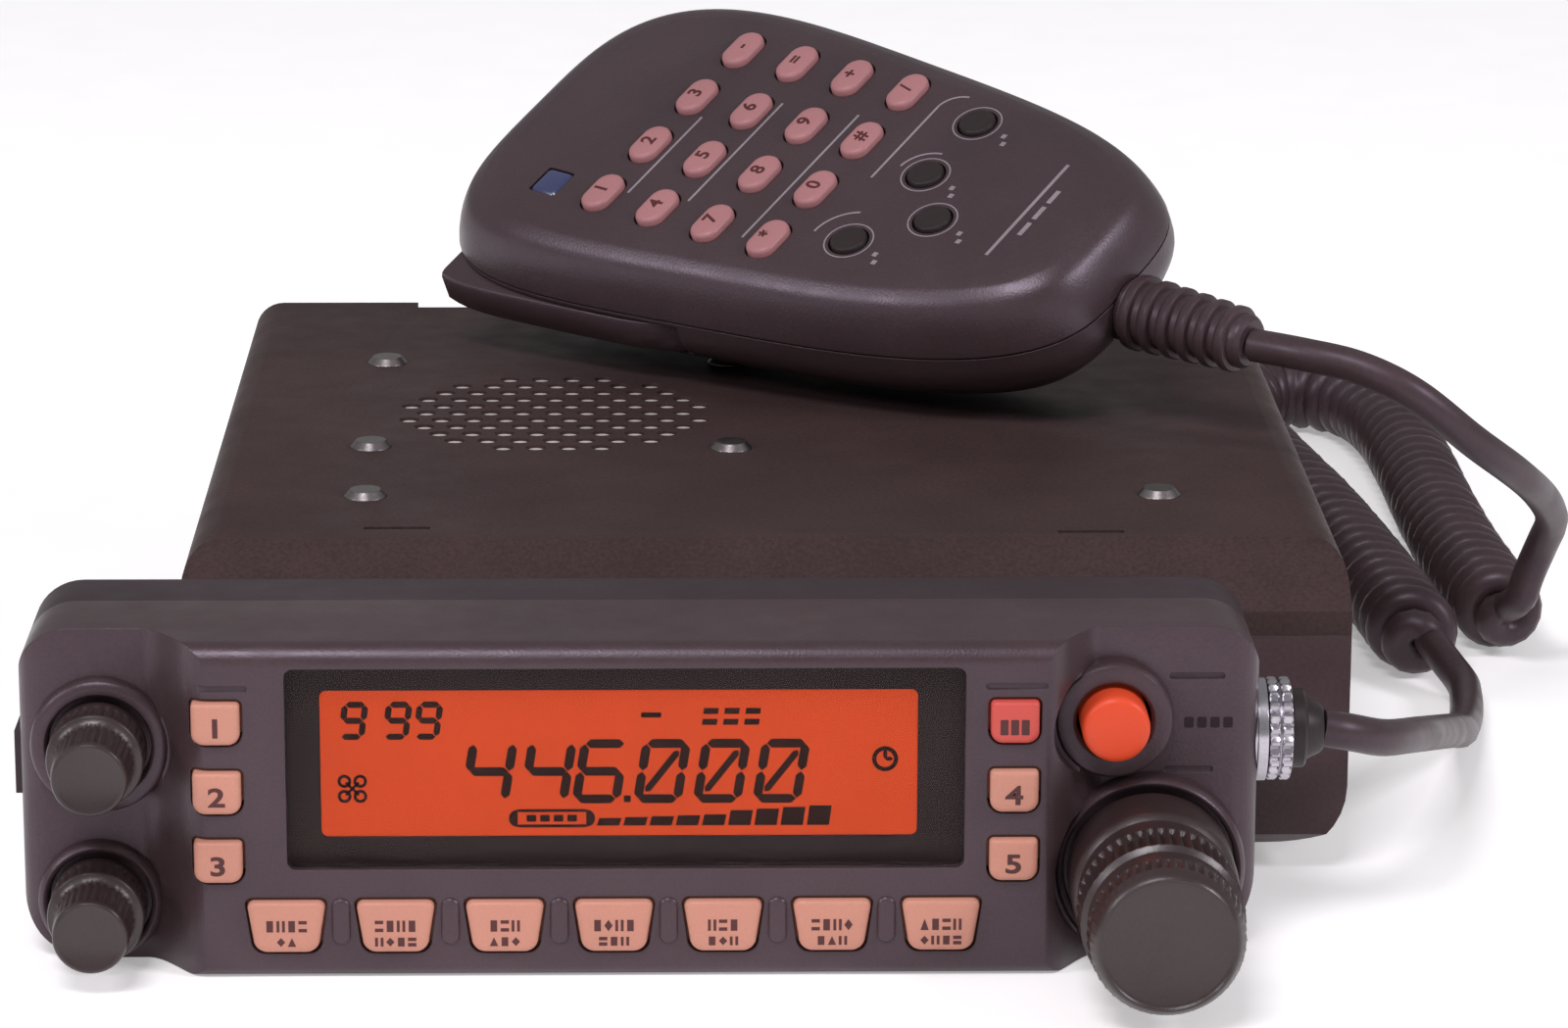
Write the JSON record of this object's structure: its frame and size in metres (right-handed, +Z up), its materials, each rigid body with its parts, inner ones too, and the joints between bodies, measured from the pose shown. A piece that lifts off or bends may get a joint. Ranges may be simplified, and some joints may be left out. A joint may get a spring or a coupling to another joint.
{
  "type": "mobile transceiver",
  "caption": "Mobile two-way radio with a control head on its front, a keypad hand microphone lying on its cover and a curly microphone cord.",
  "frame": {"origin": "centre of the main unit's underside, on the surface it stands on", "axes": "+Z up, the front panel faces -Y, +X to the right as the operator sees it"},
  "size_m": [0.1953, 0.2801, 0.0825],
  "materials": {
    "chassis_paint": "satin, fine powder texture",
    "cover_paint": "satin, fine powder texture",
    "head_plastic": "fine moulded texture",
    "rear_plastic": "fine moulded texture",
    "black_plastic": "matt",
    "knob_plastic": "matt, fluted",
    "lit_key": "translucent, lit from behind",
    "red_key": "translucent, lit from behind",
    "power_key": "satin",
    "display_glass": "clear, dark border",
    "display_lit": "orange backlight",
    "board": "solder mask",
    "steel": "dark zinc",
    "nickel": "nickel plate",
    "speaker_black": "paper cone and steel basket",
    "mic_plastic": "fine moulded texture",
    "mic_key_plastic": "translucent, lit from behind",
    "cord_rubber": "satin"
  },
  "bodies": {
    "main_unit": {"chassis": "chassis_paint", "top_cover": "cover_paint", "cover_screws": "steel", "main_board": "board", "speaker": "speaker_black", "fan_frame": "black_plastic", "antenna_socket": "nickel", "rear_jacks": "black_plastic", "head_front_shell": "head_plastic", "head_rear_shell": "rear_plastic", "head_board": "board", "display_window": "display_glass", "display_panel": "display_lit", "mic_socket": "nickel", "cord_mic_end": "cord_rubber", "cord_coil": "cord_rubber", "cord_plug_end": "cord_rubber", "plug_body": "black_plastic", "plug_ring": "nickel"},
    "fan": {"fan_rotor": "black_plastic"},
    "dial": {"main_dial": "knob_plastic"},
    "volume": {"volume_knob": "knob_plastic"},
    "squelch": {"squelch_knob": "knob_plastic"},
    "power": {"power_button": "power_key"},
    "latch": {"release_latch": "rear_plastic"},
    "key_1_body": {"key_1": "lit_key"},
    "key_2_body": {"key_2": "lit_key"},
    "key_3_body": {"key_3": "lit_key"},
    "key_select_body": {"key_select": "red_key"},
    "key_4_body": {"key_4": "lit_key"},
    "key_5_body": {"key_5": "lit_key"},
    "function_key_1_body": {"function_key_1": "lit_key"},
    "function_key_2_body": {"function_key_2": "lit_key"},
    "function_key_3_body": {"function_key_3": "lit_key"},
    "function_key_4_body": {"function_key_4": "lit_key"},
    "function_key_5_body": {"function_key_5": "lit_key"},
    "function_key_6_body": {"function_key_6": "lit_key"},
    "function_key_7_body": {"function_key_7": "lit_key"},
    "microphone": {"mic_front_shell": "mic_plastic", "mic_rear_shell": "mic_plastic", "mic_strain_relief": "cord_rubber", "mic_hanger_stud": "nickel"},
    "transmit_bar": {"ptt_bar": "mic_plastic"},
    "mic_key_1_body": {"mic_key_1": "mic_key_plastic"},
    "mic_key_2_body": {"mic_key_2": "mic_key_plastic"},
    "mic_key_3_body": {"mic_key_3": "mic_key_plastic"},
    "mic_key_4_body": {"mic_key_4": "mic_key_plastic"},
    "mic_key_5_body": {"mic_key_5": "mic_key_plastic"},
    "mic_key_6_body": {"mic_key_6": "mic_key_plastic"},
    "mic_key_7_body": {"mic_key_7": "mic_key_plastic"},
    "mic_key_8_body": {"mic_key_8": "mic_key_plastic"},
    "mic_key_9_body": {"mic_key_9": "mic_key_plastic"},
    "mic_key_10_body": {"mic_key_10": "mic_key_plastic"},
    "mic_key_11_body": {"mic_key_11": "mic_key_plastic"},
    "mic_key_12_body": {"mic_key_12": "mic_key_plastic"},
    "mic_key_13_body": {"mic_key_13": "mic_key_plastic"},
    "mic_key_14_body": {"mic_key_14": "mic_key_plastic"},
    "mic_key_15_body": {"mic_key_15": "mic_key_plastic"},
    "mic_key_16_body": {"mic_key_16": "mic_key_plastic"},
    "mic_program_keys_body": {"mic_program_keys": "black_plastic"}
  },
  "joints": [
    {"name": "fan_spin", "type": "hinge", "parent": "main_unit", "child": "fan", "pos_m": [0, 0.058, 0.0175], "axis": [0, 1, 0], "continuous": true},
    {"name": "dial_turn", "type": "hinge", "parent": "main_unit", "child": "dial", "pos_m": [0.0436, -0.11, 0.011], "axis": [0, 1, 0], "continuous": true},
    {"name": "volume_turn", "type": "hinge", "parent": "main_unit", "child": "volume", "pos_m": [-0.0768, -0.1, 0.0259], "axis": [0, 1, 0], "range_deg": [-150, 150]},
    {"name": "squelch_turn", "type": "hinge", "parent": "main_unit", "child": "squelch", "pos_m": [-0.0772, -0.1, 0.0072], "axis": [0, 1, 0], "range_deg": [-150, 150]},
    {"name": "power_press", "type": "slide", "parent": "main_unit", "child": "power", "axis": [0, 1, 0], "range_m": [0, 0.001], "stiffness_N_per_m": 1500},
    {"name": "latch_press", "type": "slide", "parent": "main_unit", "child": "latch", "axis": [1, 0, 0], "range_m": [0, 0.0008], "stiffness_N_per_m": 2500},
    {"name": "key_1_press", "type": "slide", "parent": "main_unit", "child": "key_1_body", "axis": [0, 1, 0], "range_m": [0, 0.001], "stiffness_N_per_m": 1500},
    {"name": "key_2_press", "type": "slide", "parent": "main_unit", "child": "key_2_body", "axis": [0, 1, 0], "range_m": [0, 0.001], "stiffness_N_per_m": 1500},
    {"name": "key_3_press", "type": "slide", "parent": "main_unit", "child": "key_3_body", "axis": [0, 1, 0], "range_m": [0, 0.001], "stiffness_N_per_m": 1500},
    {"name": "key_select_press", "type": "slide", "parent": "main_unit", "child": "key_select_body", "axis": [0, 1, 0], "range_m": [0, 0.001], "stiffness_N_per_m": 1500},
    {"name": "key_4_press", "type": "slide", "parent": "main_unit", "child": "key_4_body", "axis": [0, 1, 0], "range_m": [0, 0.001], "stiffness_N_per_m": 1500},
    {"name": "key_5_press", "type": "slide", "parent": "main_unit", "child": "key_5_body", "axis": [0, 1, 0], "range_m": [0, 0.001], "stiffness_N_per_m": 1500},
    {"name": "function_key_1_press", "type": "slide", "parent": "main_unit", "child": "function_key_1_body", "axis": [0, 1, 0], "range_m": [0, 0.001], "stiffness_N_per_m": 1500},
    {"name": "function_key_2_press", "type": "slide", "parent": "main_unit", "child": "function_key_2_body", "axis": [0, 1, 0], "range_m": [0, 0.001], "stiffness_N_per_m": 1500},
    {"name": "function_key_3_press", "type": "slide", "parent": "main_unit", "child": "function_key_3_body", "axis": [0, 1, 0], "range_m": [0, 0.001], "stiffness_N_per_m": 1500},
    {"name": "function_key_4_press", "type": "slide", "parent": "main_unit", "child": "function_key_4_body", "axis": [0, 1, 0], "range_m": [0, 0.001], "stiffness_N_per_m": 1500},
    {"name": "function_key_5_press", "type": "slide", "parent": "main_unit", "child": "function_key_5_body", "axis": [0, 1, 0], "range_m": [0, 0.001], "stiffness_N_per_m": 1500},
    {"name": "function_key_6_press", "type": "slide", "parent": "main_unit", "child": "function_key_6_body", "axis": [0, 1, 0], "range_m": [0, 0.001], "stiffness_N_per_m": 1500},
    {"name": "function_key_7_press", "type": "slide", "parent": "main_unit", "child": "function_key_7_body", "axis": [0, 1, 0], "range_m": [0, 0.001], "stiffness_N_per_m": 1500},
    {"name": "microphone_lift", "type": "slide", "parent": "main_unit", "child": "microphone", "axis": [0, 0, 1], "range_m": [0, 0.04]},
    {"name": "transmit_press", "type": "slide", "parent": "microphone", "child": "transmit_bar", "axis": [0.5901, 0.6502, 0.4785], "range_m": [0, 0.0015], "stiffness_N_per_m": 2500},
    {"name": "mic_key_1_press", "type": "slide", "parent": "microphone", "child": "mic_key_1_body", "axis": [0.2496, 0.4168, -0.8741], "range_m": [0, 0.0008], "stiffness_N_per_m": 1500},
    {"name": "mic_key_2_press", "type": "slide", "parent": "microphone", "child": "mic_key_2_body", "axis": [0.2496, 0.4168, -0.8741], "range_m": [0, 0.0008], "stiffness_N_per_m": 1500},
    {"name": "mic_key_3_press", "type": "slide", "parent": "microphone", "child": "mic_key_3_body", "axis": [0.2496, 0.4168, -0.8741], "range_m": [0, 0.0008], "stiffness_N_per_m": 1500},
    {"name": "mic_key_4_press", "type": "slide", "parent": "microphone", "child": "mic_key_4_body", "axis": [0.2496, 0.4168, -0.8741], "range_m": [0, 0.0008], "stiffness_N_per_m": 1500},
    {"name": "mic_key_5_press", "type": "slide", "parent": "microphone", "child": "mic_key_5_body", "axis": [0.2496, 0.4168, -0.8741], "range_m": [0, 0.0008], "stiffness_N_per_m": 1500},
    {"name": "mic_key_6_press", "type": "slide", "parent": "microphone", "child": "mic_key_6_body", "axis": [0.2496, 0.4168, -0.8741], "range_m": [0, 0.0008], "stiffness_N_per_m": 1500},
    {"name": "mic_key_7_press", "type": "slide", "parent": "microphone", "child": "mic_key_7_body", "axis": [0.2496, 0.4168, -0.8741], "range_m": [0, 0.0008], "stiffness_N_per_m": 1500},
    {"name": "mic_key_8_press", "type": "slide", "parent": "microphone", "child": "mic_key_8_body", "axis": [0.2496, 0.4168, -0.8741], "range_m": [0, 0.0008], "stiffness_N_per_m": 1500},
    {"name": "mic_key_9_press", "type": "slide", "parent": "microphone", "child": "mic_key_9_body", "axis": [0.2496, 0.4168, -0.8741], "range_m": [0, 0.0008], "stiffness_N_per_m": 1500},
    {"name": "mic_key_10_press", "type": "slide", "parent": "microphone", "child": "mic_key_10_body", "axis": [0.2496, 0.4168, -0.8741], "range_m": [0, 0.0008], "stiffness_N_per_m": 1500},
    {"name": "mic_key_11_press", "type": "slide", "parent": "microphone", "child": "mic_key_11_body", "axis": [0.2496, 0.4168, -0.8741], "range_m": [0, 0.0008], "stiffness_N_per_m": 1500},
    {"name": "mic_key_12_press", "type": "slide", "parent": "microphone", "child": "mic_key_12_body", "axis": [0.2496, 0.4168, -0.8741], "range_m": [0, 0.0008], "stiffness_N_per_m": 1500},
    {"name": "mic_key_13_press", "type": "slide", "parent": "microphone", "child": "mic_key_13_body", "axis": [0.2496, 0.4168, -0.8741], "range_m": [0, 0.0008], "stiffness_N_per_m": 1500},
    {"name": "mic_key_14_press", "type": "slide", "parent": "microphone", "child": "mic_key_14_body", "axis": [0.2496, 0.4168, -0.8741], "range_m": [0, 0.0008], "stiffness_N_per_m": 1500},
    {"name": "mic_key_15_press", "type": "slide", "parent": "microphone", "child": "mic_key_15_body", "axis": [0.2496, 0.4168, -0.8741], "range_m": [0, 0.0008], "stiffness_N_per_m": 1500},
    {"name": "mic_key_16_press", "type": "slide", "parent": "microphone", "child": "mic_key_16_body", "axis": [0.2496, 0.4168, -0.8741], "range_m": [0, 0.0008], "stiffness_N_per_m": 1500},
    {"name": "mic_program_keys_press", "type": "slide", "parent": "microphone", "child": "mic_program_keys_body", "axis": [0.2496, 0.4168, -0.8741], "range_m": [0, 0.0006], "stiffness_N_per_m": 1500}
  ]
}
